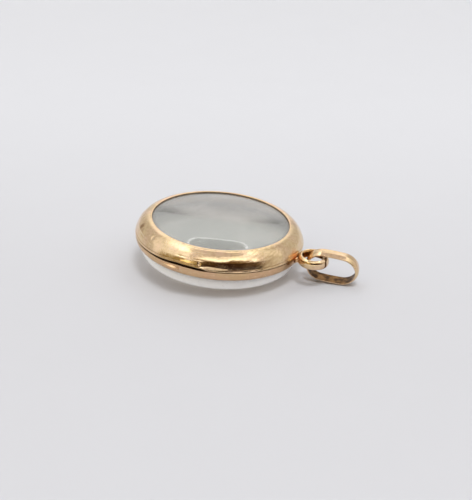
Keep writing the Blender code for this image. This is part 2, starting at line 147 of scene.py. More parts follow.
# Back crystal
BACK_GLASS_RADIUS = 11.50
BACK_GLASS_RIM_RADIUS = 11.89
BACK_GLASS_CROWN_RADIUS = 9.60
BACK_GLASS_DEPTH = 5.03
BACK_GLASS_WALL = 0.90
BACK_GLASS_WALL_FOOT = -2.20
CROWN_SLOPE = 0.215
SHOULDER_REACH = 0.72
SHOULDER_RISE = 0.34
FIT_GAP = 0.06
SEAT_INNER_RADIUS = 0.50
SEAT_OUTER_RADIUS = 2.30

# Hinge and thumb lips
HINGE_AZIMUTH = math.radians(108.0)
HINGE_RADIUS = 13.2
KNUCKLE_RADIUS = 0.55
KNUCKLE_BORE = 0.30
FRONT_KNUCKLE_LENGTH = 1.90
BACK_KNUCKLE_LENGTH = 1.60
KNUCKLE_GAP = 0.12
PIN_RADIUS = 0.25
TONGUE_NEAR = 0.12
TONGUE_FAR = 0.48
FRONT_TONGUE_BITE = 0.30
BACK_TONGUE_BITE = 0.48
FRONT_NIB_AZIMUTH = math.radians(-71.5)
FRONT_NIB_HALF_ANGLE = math.radians(9.5)
NIB_ROOT = 0.225
NIB_SINK = 0.06
BACK_NIB_AZIMUTH = math.radians(-102.6)
BACK_NIB_HALF_ANGLE = math.radians(8.2)

# Eye ring and lug
EYE_MIDDLE_RADIUS = 1.945
EYE_DROP = 0.20
EYE_X = 14.72
EYE_TILT = math.radians(3.5)
# The ring's section, out from its middle line and up, before it is stretched
EYE_SECTION = (
    (-0.345, 0.52),
    (-0.17, 0.66),
    (0.14, 0.47),
    (0.27, 0.22),
    (0.345, -0.10),
    (0.33, -0.45),
    (0.13, -0.66),
    (-0.20, -0.66),
    (-0.345, -0.42),
)
EYE_SECTION_EASING = 0.2
EYE_SECTION_STRETCH = 1.06
EYE_INSIDE_GRIME_AND_SHADE = 0.25
LUG_CASE_X = 12.15
LUG_EYE_X = 12.95
LUG_TOP = 0.16
LUG_CASE_DEPTH = 1.25
LUG_EYE_DEPTH = 1.02
LUG_HALF_WIDTH = 1.02
LUG_CASE_FLARE = 0.85
LUG_EYE_FLARE = 0.16
LUG_SQUARENESS = 3.2

# Bail
BAIL_LENGTH = 7.69
BAIL_HEIGHT = 4.62
BAIL_BOW = 0.13
BAIL_WIDTH = 1.76
BAIL_WALL = 0.37
BAIL_CROWN = 0.08
BAIL_EYE_X = 14.78
BAIL_ALONG = 2.53
BAIL_ASIDE = 1.09
BAIL_TURN = math.radians(8.2)
BAIL_PITCH = math.radians(5.0)
BAIL_LEAN = math.radians(9.4)

# Camera, from the photograph's frame of 472 by 500
FRAME_WIDTH = 472
FOCAL_PIXELS = 1078.4
SENSOR_WIDTH = 36.0
CAMERA_DISTANCE = 160.0
CAMERA_AZIMUTH = math.radians(21.4)
CAMERA_ELEVATION = math.radians(24.71)
CAMERA_ROLL = math.radians(1.5)
SEAM_CENTRE = np.array([-1.0482, 0.0, 5.0526])
SEAM_PIXEL = (219.8, 233.7)
FRAME_CENTRE = (236.0, 250.0)
LEVEL = np.array([-math.sin(CAMERA_AZIMUTH), math.cos(CAMERA_AZIMUTH), 0.0])
RIGHT = np.array([math.cos(CAMERA_AZIMUTH), math.sin(CAMERA_AZIMUTH), 0.0])


def turn_x(angle):
    """A turn about X: y' = y cos a - z sin a, z' = y sin a + z cos a."""
    c, s = math.cos(angle), math.sin(angle)
    return np.array([[1, 0, 0], [0, c, -s], [0, s, c]])


def turn_y(angle):
    """A turn about Y: x' = x cos a + z sin a, z' = z cos a - x sin a."""
    c, s = math.cos(angle), math.sin(angle)
    return np.array([[c, 0, s], [0, 1, 0], [-s, 0, c]])


def turn_z(angle):
    """A turn about Z: x' = x cos a - y sin a, y' = x sin a + y cos a."""
    c, s = math.cos(angle), math.sin(angle)
    return np.array([[c, -s, 0], [s, c, 0], [0, 0, 1]])


def crown_height(radius, rise):
    """Height of the back crystal's crown: level, then the seat's cone, then a parabola.

    z = -depth + rise + slope * (radius past the level middle) + bend * (radius past the seat)^2 / 2
    """
    slope = math.tan(LEAN) * math.cos(math.pi / SEAT_SIDES)
    past_middle = np.maximum(radius - SEAT_INNER_RADIUS, 0.0)
    past_seat = np.maximum(radius - SEAT_OUTER_RADIUS, 0.0)
    bend = (CROWN_SLOPE - slope) / (BACK_GLASS_CROWN_RADIUS - SEAT_OUTER_RADIUS)
    return -BACK_GLASS_DEPTH + rise + slope * past_middle + bend * past_seat**2 / 2


SEAT_MIDDLE = (SEAT_INNER_RADIUS + SEAT_OUTER_RADIUS) / 2
SEAT_POINT = np.array(
    [SEAT_MIDDLE * math.cos(math.pi / SEAT_SIDES), 0.0, float(crown_height(SEAT_MIDDLE, 0.0))]
)
CASE_TURN = turn_y(LEAN)


def in_case(points):
    """Points of the case's own frame, leant about Y and set down with the seat at the origin."""
    return (points - SEAT_POINT) @ CASE_TURN.T


def in_hinge(points):
    """Points of the hinge's frame, X along the pin and Y out from the case, in the case's frame."""
    out = np.array([math.cos(HINGE_AZIMUTH), math.sin(HINGE_AZIMUTH), 0.0])
    along = np.array([out[1], -out[0], 0.0])
    axes = np.array([along, out, [0.0, 0.0, 1.0]])
    return points @ axes + out * HINGE_RADIUS


def bezier(start, start_handle, end_handle, end, steps):
    """A cubic curve: the four corners weighed by (1-t)^3, 3t(1-t)^2, 3t^2(1-t) and t^3."""
    t = np.linspace(0.0, 1.0, steps + 1)[:, None]
    corners = [np.asarray(corner, float) for corner in (start, start_handle, end_handle, end)]
    weights = ((1 - t) ** 3, 3 * t * (1 - t) ** 2, 3 * t**2 * (1 - t), t**3)
    return sum(weight * corner for weight, corner in zip(weights, corners))


def eased(corners, radius, steps):
    """A closed section whose corners are eased by quadratic arcs.

    Each corner C becomes (1-t)^2 A + 2t(1-t) C + t^2 B. A and B lie on the two sides that meet
    at C, a radius away or 0.45 of the side, whichever is less.
    """
    corners = np.asarray(corners, float)
    radius = np.broadcast_to(np.asarray(radius, float), corners.shape[-2])[:, None]
    before = np.roll(corners, 1, axis=-2) - corners
    after = np.roll(corners, -1, axis=-2) - corners
    long_before = np.linalg.norm(before, axis=-1, keepdims=True)
    long_after = np.linalg.norm(after, axis=-1, keepdims=True)
    start = corners + before / long_before * np.minimum(radius, 0.45 * long_before)
    end = corners + after / long_after * np.minimum(radius, 0.45 * long_after)
    t = np.linspace(0.0, 1.0, steps + 1)[:, None]
    start, middle, end = (side[..., None, :] for side in (start, corners, end))
    arcs = (1 - t) ** 2 * start + 2 * t * (1 - t) * middle + t**2 * end
    return arcs.reshape(*corners.shape[:-2], -1, 2)


def eased_run(start, corners, end, steps):
    """Eased corners in a row from one point to another, without those two points, and their grime
    and painted shade.

    Each corner is its radius from the axis, its height, how far it is eased and its grime and
    painted shade, if any.
    """
    corners = np.asarray(corners)
    row = np.concatenate([start[None], corners[:, :2], end[None]])
    section = eased(row, np.pad(corners[:, 2], 1), steps)[steps + 1 : -steps - 1]
    return section, np.repeat(corners[:, 3:], steps + 1, axis=0)


def turned(profile, around=AROUND):
    """A (radius, height) profile turned round Z: x = r cos a, y = r sin a, z = height."""
    angle = np.linspace(0.0, TAU, around, endpoint=False)
    radius, height = profile[:, 0, None], profile[:, 1, None]
    return np.stack([radius * np.cos(angle), radius * np.sin(angle), height + 0 * angle], -1)


def capped(rows):
    """Rows of points with a last point at each end, the mean of the end row, to close a tube."""
    first = np.broadcast_to(rows[:1].mean(1, keepdims=True), rows[:1].shape)
    last = np.broadcast_to(rows[-1:].mean(1, keepdims=True), rows[-1:].shape)
    return np.concatenate([first, rows, last])


def shell(name, points, grime_and_shade, finish, wrap_rows, place):
    """A piece from a grid of points: quads between neighbours, and the last column joins the first.

    The piece's own coordinates in millimetres and its grime with painted shade are kept on its
    points for the finishes, and the points are then put in their place.
    """
    rows, columns = points.shape[:2]
    row = np.arange(rows if wrap_rows else rows - 1)[:, None]
    column = np.arange(columns)[None, :]
    below, beside = (row + 1) % rows * columns, (column + 1) % columns
    row = row * columns
    corners = np.broadcast_arrays(row + column, row + beside, below + beside, below + column)
    faces = np.stack(corners, -1).reshape(-1, 4)
    mesh = bpy.data.meshes.new(name)
    mesh.from_pydata(points.reshape(-1, 3).tolist(), [], faces.tolist())
    own = mesh.attributes.new("own", "FLOAT_VECTOR", "POINT")
    own.data.foreach_set("vector", points.astype(np.float32).ravel())
    dirt_and_shade = mesh.attributes.new("grime_and_shade", "FLOAT", "POINT")
    spread = np.broadcast_to(np.asarray(grime_and_shade, np.float32), (rows, columns))
    dirt_and_shade.data.foreach_set("value", np.ascontiguousarray(spread).ravel())
    work = bmesh.new()
    work.from_mesh(mesh)
    bmesh.ops.remove_doubles(work, verts=work.verts, dist=1e-4)
    bmesh.ops.recalc_face_normals(work, faces=work.faces)
    work.to_mesh(mesh)
    work.free()
    made = np.empty(len(mesh.vertices) * 3)
    mesh.vertices.foreach_get("co", made)
    mesh.vertices.foreach_set("co", (place(made.reshape(-1, 3)) * MM).ravel())
    mesh.update()
    mesh.shade_smooth()
    mesh.set_sharp_from_angle(angle=SMOOTH_BELOW)
    mesh.materials.append(finish)
    piece = bpy.data.objects.new(name, mesh)
    bpy.context.scene.collection.objects.link(piece)
    return piece


def ease_between(value, low, high):
    """0 below low, 1 above high and t^2 (3 - 2t) between them."""
    t = np.clip((value - low) / (high - low), 0.0, 1.0)
    return t * t * (3 - 2 * t)


def seam_shift(angle, side):
    """How far one half's edge has moved up or down along the worn seam, in millimetres.

    Side 1 is the front's edge and side -1 the back's. Both run straight from one listed angle to
    the next.
    """
    table = np.array(SEAM_EDGES)
    height = np.interp(np.degrees(angle) % 360, table[:, 0], table[:, 1 if side > 0 else 2])
    return height - side * SEAM_GAP / 2


def hand_worn(angle, share):
    """Slow waves, a few hundredths of a millimetre high, that years of wear leave in a thin dome.

    Each wave is sin(k a + m s + phase), with a the angle round the case and s the share of the way
    down the dome, faded out at both of the dome's edges by sin(pi s).
    """
    # k, m, phase and height of each wave
    waves = (
        (5, 2.1, 0.4, 0.010),
        (11, -3.0, 1.9, 0.007),
        (17, 4.2, 5.1, 0.005),
        (29, -6.0, 2.6, 0.0025),
        (43, 5.0, 0.9, 0.0012),
    )
    total = sum(size * np.sin(k * angle + m * share + phase) for k, m, phase, size in waves)
    return total * np.sin(math.pi * share)


def front_frame():
    """The front bezel: a section of two cubic curves and twelve eased corners, turned round Z.

    The curves are the bead beside the window and the dome down to its foot. The waves of wear are
    added to the dome's radius. The height then becomes z + f * shift(angle), where f is 1 at the
    seam and eases to 0 up the section.
    """
    foot_radius = CASE_RADIUS - DOME_FOOT_INSET
    bead_start = np.array([WINDOW_RADIUS + LIP_ROUND, LIP_HEIGHT - BEAD_STEP])
    bead_end = bead_start + (BEAD_WIDTH, -BEAD_DROP)
    downhill = np.array([math.cos(DOME_SLOPE), -math.sin(DOME_SLOPE)])
    bead = bezier(
        bead_start,
        bead_start + BEAD_WIDTH / 3 * np.array([1.0, -math.tan(BEAD_SLOPE)]),
        bead_end - BEAD_WIDTH / 3 * downhill,
        bead_end,
        BEAD_STEPS,
    )
    dome = bezier(
        bead_end,
        bead_end + (DOME_REACH - BEAD_WIDTH) * downhill,
        (
            foot_radius - DOME_SHOULDER * math.cos(DOME_FOOT_SLOPE),
            DOME_FOOT + DOME_SHOULDER * math.sin(DOME_FOOT_SLOPE),
        ),
        (foot_radius, DOME_FOOT),
        DOME_STEPS,
    )
    dome = np.concatenate([bead, dome[1:]])
    # Radius from the axis, height, easing, grime with painted shade in hollows
    corners = [
        (foot_radius - GROOVE_DEPTH, DOME_FOOT - GROOVE_WIDTH / 2, 0.01, 0.8),
        (foot_radius + 0.02, DOME_FOOT - GROOVE_WIDTH, 0.02, 0.0),
        (CASE_RADIUS, SEAM_GAP / 2, 0.04, 0.15),
        (INNER_RADIUS, SEAM_GAP / 2, 0.03, 0.9),
        (INNER_RADIUS, INNER_HEIGHT, 0.05, 0.55),
        (INNER_RADIUS - INNER_SHOULDER, LEDGE_TOP - LEDGE_WALL, 0.05, 0.45),
        (SEAT_RADIUS - LEDGE_WIDTH, LEDGE_TOP - LEDGE_WALL, 0.03, 0.5),
        (SEAT_RADIUS - LEDGE_WIDTH, LEDGE_TOP, 0.03, 0.8),
        (SEAT_RADIUS, LEDGE_TOP, 0.02, 1.0),
        (SEAT_RADIUS, BEVEL_FOOT + FIT_GAP, 0.02, 1.0),
        (WINDOW_RADIUS, LIP_HEIGHT - LIP_WALL, 0.02, 0.8),
        (WINDOW_RADIUS, LIP_HEIGHT, LIP_ROUND, 0.0),
    ]
    rest, grime_and_shade = eased_run(dome[-1], corners, dome[0], 5)
    points = turned(np.concatenate([dome, rest]))
    share = np.linspace(0.0, 1.0, len(dome))[:, None]
    swell = hand_worn(ANGLES, share)
    points[: len(dome), :, 0] += swell * np.cos(ANGLES)
    points[: len(dome), :, 1] += swell * np.sin(ANGLES)
    near_foot = 1 - ease_between(points[..., 2], *FRONT_SEAM_FADE)
    # Inside, only the metal near the seam follows it
    outside = points[..., 0] ** 2 + points[..., 1] ** 2 > (INNER_RADIUS - 0.01) ** 2
    near_foot = near_foot * (outside | (points[..., 2] < INNER_HEIGHT - 0.1))
    points[..., 2] += near_foot * seam_shift(ANGLES, 1)
    return points, np.concatenate([0 * share, grime_and_shade])


def back_frame():
    """The back bezel: a section of one cubic curve and nine eased corners, turned round Z.

    The curve is the cheek that rounds under to the lip. The corners go on round the crystal's
    groove and the collar. The height then becomes z + f * shift(angle), where f is 1 at the seam
    and eases to 0 down the cheek.
    """
    top = -SEAM_GAP / 2
    outside = bezier(
        (BACK_TOP_RADIUS, top - 0.04),
        (BACK_TOP_RADIUS, top - BACK_SHOULDER_HEIGHT),
        (BACK_TOP_RADIUS - BACK_CHEEK_INSET, top - BACK_CHEEK_HEIGHT),
        (BACK_FOOT_RADIUS + 0.02, -BACK_DEPTH),
        BACK_CHEEK_STEPS,
    )
    # Radius from the axis, height, easing, grime with painted shade in hollows
    corners = [
        (BACK_LIP_RADIUS, BACK_LIP_FOOT, 0.05, 0.0),
        (BACK_LIP_RADIUS, BACK_LIP_TOP, 0.02, 1.0),
        (BACK_GROOVE_RADIUS, BACK_LIP_TOP, 0.02, 1.0),
        (BACK_GROOVE_RADIUS, -COLLAR_FOOT, 0.02, 1.0),
        (COLLAR_INNER, -COLLAR_FOOT, 0.04, 0.6),
        (COLLAR_INNER, COLLAR_RISE, 0.06, 0.4),
        (COLLAR_OUTER, COLLAR_RISE, 0.06, 0.5),
        (COLLAR_OUTER, top, 0.02, 1.0),
        (BACK_TOP_RADIUS, top, 0.035, 0.4),
    ]
    rest, grime_and_shade = eased_run(outside[-1], corners, outside[0], 3)
    points = turned(np.concatenate([outside, rest]))
    near_top = ease_between(points[..., 2], *BACK_SEAM_FADE) * (points[..., 2] < 0)
    near_top = near_top * (points[..., 0] ** 2 + points[..., 1] ** 2 > (COLLAR_OUTER - 0.01) ** 2)
    points[..., 2] += near_top * seam_shift(ANGLES, -1)
    # The cheek darkens towards the lip: painted reflection of the shaded floor
    step = np.arange(BACK_CHEEK_STEPS + 1.0)[:, None]
    cheek = BACK_CHEEK_PAINTED_SHADE * ease_between(step, BACK_CHEEK_SHADED_FROM, BACK_CHEEK_STEPS)
    return points, np.concatenate([cheek, grime_and_shade])


def cap_height(radius, edge_height):
    """Height of the front crystal's shallow sphere: sqrt(R^2 - r^2), less the same at the bevel."""
    at_radius = np.sqrt(FRONT_GLASS_CURVE**2 - radius**2)
    return edge_height + at_radius - math.sqrt(FRONT_GLASS_CURVE**2 - BEVEL_RADIUS**2)


def front_glass_points():
    """The front crystal: a shallow spherical cap, a bevelled rim and the same cap underneath.

    The caps are z = sqrt(R^2 - r^2) less a height, and the whole section is turned round Z. Each
    patch of painted shade is a share times exp(-(out / length)^2 - (side / width)^2) about its
    middle.
    """
    outer = np.linspace(0.0, BEVEL_RADIUS - 0.05, 26)
    inner = np.linspace(BEVEL_RADIUS - FRONT_GLASS_WALL / 2, 0.0, 24)
    over = np.stack([outer, cap_height(outer, BEVEL_TOP)], -1)
    under = np.stack([inner, cap_height(inner, BEVEL_TOP - FRONT_GLASS_WALL)], -1)
    foot = BEVEL_FOOT - FRONT_GLASS_RIM
    rim = [
        (BEVEL_RADIUS, BEVEL_TOP, 0.04),
        (FRONT_GLASS_RADIUS, BEVEL_FOOT, 0.03),
        (FRONT_GLASS_RADIUS, foot, 0.03),
        (BEVEL_RADIUS, foot, 0.03),
    ]
    profile = np.concatenate([over, eased_run(over[-1], rim, under[0], 3)[0], under])
    points = turned(profile)
    # Grime and painted shade round the rim under the bezel's lip, and the patches of painted shade
    grime_and_shade = ease_between(profile[:, :1], BEVEL_RADIUS - 0.22, BEVEL_RADIUS + 0.02)
    for azimuth, radius, long, wide, share in GLASS_PAINTED_SHADE:
        turn = math.radians(azimuth)
        out = points[..., 0] * math.cos(turn) + points[..., 1] * math.sin(turn) - radius
        side = points[..., 1] * math.cos(turn) - points[..., 0] * math.sin(turn)
        grime_and_shade = np.maximum(grime_and_shade, share * np.exp(-((out / long) ** 2) - (side / wide) ** 2))
    return points, grime_and_shade


def back_side(radius, crown_radius, rise, steps):
    """The back crystal's rounded shoulder: a cubic curve from its crown up to its upright wall."""
    start = np.array([crown_radius, float(crown_height(crown_radius, rise))])
    reach = (radius - crown_radius) * SHOULDER_REACH
    return bezier(
        start,
        start + reach * np.array([1.0, CROWN_SLOPE]),
        (radius, start[1] + (BACK_GLASS_WALL_FOOT - start[1]) * SHOULDER_RISE),
        (radius, BACK_GLASS_WALL_FOOT),
        steps,
    )


def crown_points(edge, rise):
    """The crown from its middle out to just short of an edge radius, with a ring on each crease."""
    level = np.array([0.0, SEAT_INNER_RADIUS])
    radius = np.concatenate([level, np.linspace(SEAT_OUTER_RADIUS, edge, 28)[:-1]])
    return np.stack([radius, crown_height(radius, rise)], -1)


def back_glass_points():
    """The back crystal: a deep dome of even wall, open upwards, with a rim in the bezel's groove.

    Its section is the crown, a cubic shoulder up to the upright wall, the eased rim, and the same
    shoulder and crown a wall further in, turned round Z.
    """
    wall_radius = BACK_GLASS_RADIUS - BACK_GLASS_WALL
    crown_edge = BACK_GLASS_CROWN_RADIUS - BACK_GLASS_WALL * SHOULDER_REACH
    rim_top = -COLLAR_FOOT - FIT_GAP
    rim = [
        (BACK_GLASS_RADIUS, BACK_LIP_TOP + FIT_GAP, 0.02),
        (BACK_GLASS_RIM_RADIUS, BACK_LIP_TOP + FIT_GAP, 0.04),
        (BACK_GLASS_RIM_RADIUS, rim_top, 0.05),
        (wall_radius, rim_top, 0.05),
    ]
    outside = back_side(BACK_GLASS_RADIUS, BACK_GLASS_CROWN_RADIUS, 0.0, 20)
    inside = back_side(wall_radius, crown_edge, BACK_GLASS_WALL, 20)[::-1]
    edge = eased_run(outside[-1], rim, inside[0], 3)[0]
    over = crown_points(BACK_GLASS_CROWN_RADIUS, 0.0)
    under = crown_points(crown_edge, BACK_GLASS_WALL)[::-1]
    profile = np.concatenate([over, outside, edge, inside, under])
    # Grime and painted shade where the crystal goes into the bezel's lip
    return turned(profile), ease_between(profile[:, 1:], BACK_LIP_FOOT - 0.12, BACK_LIP_FOOT + 0.05)


def nib(azimuth, half_angle, peak, skin, reach, foot, edge, wall, rise):
    """A crescent nib along part of a bezel's edge: a wedge section that swells along its arc.

    The swell is (1 + s) (1 - s)^q, scaled to 1 at its peak, with s from -1 to 1 along the arc and
    q = (1 - peak) / (1 + peak). The section's eased corners are the root, the edge's lower and
    upper corners at skin - sink + reach * swell from the axis, and the crest, which rises with it.
    """
    root = skin - NIB_ROOT
    share = np.linspace(-1.0, 1.0, 49)
    power = (1 - peak) / (1 + peak)
    swell = (1 + share) * (1 - share) ** power
    swell = swell / ((1 + peak) * (1 - peak) ** power)
    out = skin - NIB_SINK + reach * swell
    crest = edge + wall + NIB_SINK + rise * swell
    corners = ((root, foot), (out, edge), (out, edge + wall), (root, crest))
    corners = [np.stack(np.broadcast_arrays(*corner, share)[:2], -1) for corner in corners]
    steps = 4
    section = eased(np.stack(corners, -2), [0.02, 0.05, 0.04, 0.02], steps)
    # Darker on its underside and root against the bezel: grime and painted shade
    grime_and_shade = np.repeat([0.9, 0.2, 0.0, 0.0], steps + 1)
    angle = azimuth + share[:, None] * half_angle
    radius, height = section[..., 0], section[..., 1]
    return capped(np.stack([radius * np.cos(angle), radius * np.sin(angle), height], -1)), grime_and_shade


def hinge_tube(middle, length):
    """A hinge knuckle: a tube's section with eased corners, turned round the pin's axis X."""
    ends = (middle - length / 2, middle + length / 2)
    corners = [
        (KNUCKLE_BORE, ends[0]),
        (KNUCKLE_RADIUS, ends[0]),
        (KNUCKLE_RADIUS, ends[1]),
        (KNUCKLE_BORE, ends[1]),
    ]
    steps = 4
    section = eased(corners, [0.02, 0.06, 0.06, 0.02], steps)
    # Darker in the bore: grime and painted shade
    grime_and_shade = np.repeat([1.0, 0.3, 0.3, 1.0], steps + 1)[:, None]
    return in_hinge(turned(section, 64)[..., [2, 0, 1]]), grime_and_shade


def hinge_tongue(middle, length, bite, upward):
    """The flat tongue of a knuckle: an eased bar from the knuckle's wall into the case.

    Its section is drawn in towards its middle near both ends, by the inset over its own half size.
    """
    along = np.array([0.0, 0.03, 0.10, 0.5, 0.90, 0.97, 1.0]) * length + middle - length / 2
    inset = np.array([0.06, 0.02, 0.0, 0.0, 0.0, 0.02, 0.06])[:, None]
    near, far = (upward * TONGUE_NEAR, upward * TONGUE_FAR)
    low = CASE_RADIUS - bite - HINGE_RADIUS
    high = -KNUCKLE_BORE - 0.10
    corners = [(low, near), (high, near), (high, far), (low, far)]
    section = eased(corners, [0.02, 0.05, 0.05, 0.02], 3)
    middle_point = section.mean(0)
    size = np.abs(section - middle_point).max(0)
    grown = middle_point + (section - middle_point)[None] * (1 - inset[..., None] / size)
    along = np.broadcast_to(along[:, None, None], grown.shape[:2] + (1,))
    return in_hinge(capped(np.concatenate([along, grown], -1))), 0.35


def pin_points():
    """The hinge pin: a slim rod with low domed ends, turned round its axis X."""
    half = (FRONT_KNUCKLE_LENGTH + 2 * (KNUCKLE_GAP + BACK_KNUCKLE_LENGTH)) / 2
    turn = np.linspace(0.0, math.pi / 2, 9)
    end = np.stack([PIN_RADIUS * np.sin(turn), half - 0.08 * (1 - np.cos(turn))], -1)
    profile = np.concatenate([end, end[::-1] * (1, -1)])
    return in_hinge(turned(profile, 48)[..., [2, 0, 1]]), 0.3


def rounded_box(angle, power):
    """Points of a superellipse: (cos a, sin a) times (|cos a|^p + |sin a|^p)^(-1/p)."""
    across, up = np.cos(angle), np.sin(angle)
    scale = (np.abs(across) ** power + np.abs(up) ** power) ** (-1 / power)
    return across * scale, up * scale


def eye_points():
    """The eye ring: a leaning section with eased corners, turned round Z and tilted about X."""
    section = eased(EYE_SECTION, EYE_SECTION_EASING, 5)
    # The ring's inside is darker: grime and painted shade
    grime_and_shade = EYE_INSIDE_GRIME_AND_SHADE * ease_between(-section[:, :1], 0.22, 0.34)
    profile = section * (1.0, EYE_SECTION_STRETCH) + (EYE_MIDDLE_RADIUS, 0.0)
    return turned(profile, 144) @ turn_x(EYE_TILT).T + (EYE_X, 0.0, -EYE_DROP), grime_and_shade


def lug_points():
    """The lug: a superellipse section carried along X, waisted between its two flared ends.

    With s from 0 at the case to 1 at the eye, its half width is w + a (1 - s)^3 + b s^4, and its
    foot rises from one depth to the other by (1 - s)^2.
    """
    share = np.linspace(0.0, 1.0, 33)[:, None]
    half = LUG_HALF_WIDTH + LUG_CASE_FLARE * (1 - share) ** 3 + LUG_EYE_FLARE * share**4
    depth = LUG_EYE_DEPTH + (LUG_CASE_DEPTH - LUG_EYE_DEPTH) * (1 - share) ** 2
    turn = np.linspace(0.0, TAU, 40, endpoint=False)[None, :]
    across, up = rounded_box(turn, LUG_SQUARENESS)
    tall = (depth - LUG_TOP) / 2
    x = LUG_CASE_X + (LUG_EYE_X - LUG_CASE_X) * share + 0 * across
    points = capped(np.stack([x, half * across, -(depth + LUG_TOP) / 2 + tall * up], -1))
    # Darker towards both ends, where it meets the case and the eye: grime and painted shade
    return points, 0.5 * np.abs(2 * np.linspace(0.0, 1.0, len(points)) - 1)[:, None] ** 3


def bail_points():
    """The bail: a strip carried round a link with two long sides and two half-round bends.

    The sides bow outwards by a squared cosine of the place along the link. The section is flat
    inside and crowned outside, and its corners are eased.
    """
    bend = BAIL_HEIGHT / 2
    straight = BAIL_LENGTH / 2 - bend
    half = BAIL_WIDTH / 2
    turn = np.linspace(-math.pi / 2, math.pi / 2, 41)
    side = np.linspace(-1.0, 1.0, 13)[1:-1]
    out_x = np.concatenate([np.cos(turn), 0 * side, -np.cos(turn), 0 * side])
    out_z = np.concatenate([np.sin(turn), 1 + 0 * side, -np.sin(turn), -1 + 0 * side])
    middle = np.concatenate([straight + 0 * turn, -straight * side])
    middle = np.concatenate([middle, -middle])
    # The section: out from the link's line, and across
    corners = [
        (BAIL_CROWN - 0.22, half),
        (-BAIL_WALL, half),
        (-BAIL_WALL, -half),
        (BAIL_CROWN - 0.27, -half),
        (BAIL_CROWN - 0.03, -0.42 * half),
        (BAIL_CROWN, -0.10 * half),
        (BAIL_CROWN - 0.06, 0.75 * half),
    ]
    section = eased(corners, [0.08, 0.06, 0.05, 0.09, 0.14, 0.10, 0.10], 6)
    # The inner face is dark: grime and painted shade
    grime_and_shade = np.where(section[:, 0] < -BAIL_WALL + 0.01, 0.92, 0.0)
    depth, across = section[None, :, 0], section[None, :, 1]
    x = middle[:, None] + (bend + depth) * out_x[:, None]
    z = (bend + depth) * out_z[:, None]
    bow = BAIL_BOW * np.cos(math.pi / BAIL_LENGTH * x) ** 2
    return np.stack([x, across + 0 * x, z + bow * out_z[:, None]], -1), grime_and_shade


def in_bail(points):
    """Points of the bail's own frame, leant, pitched, turned and set on the floor by the eye."""
    turn = turn_z(BAIL_TURN) @ turn_y(BAIL_PITCH) @ turn_x(BAIL_LEAN)
    points = points @ turn.T
    eye = in_case(np.array([BAIL_EYE_X, 0.0, -EYE_DROP]))
    return points + (eye[0] + BAIL_ALONG, eye[1] + BAIL_ASIDE, -points[..., 2].min())


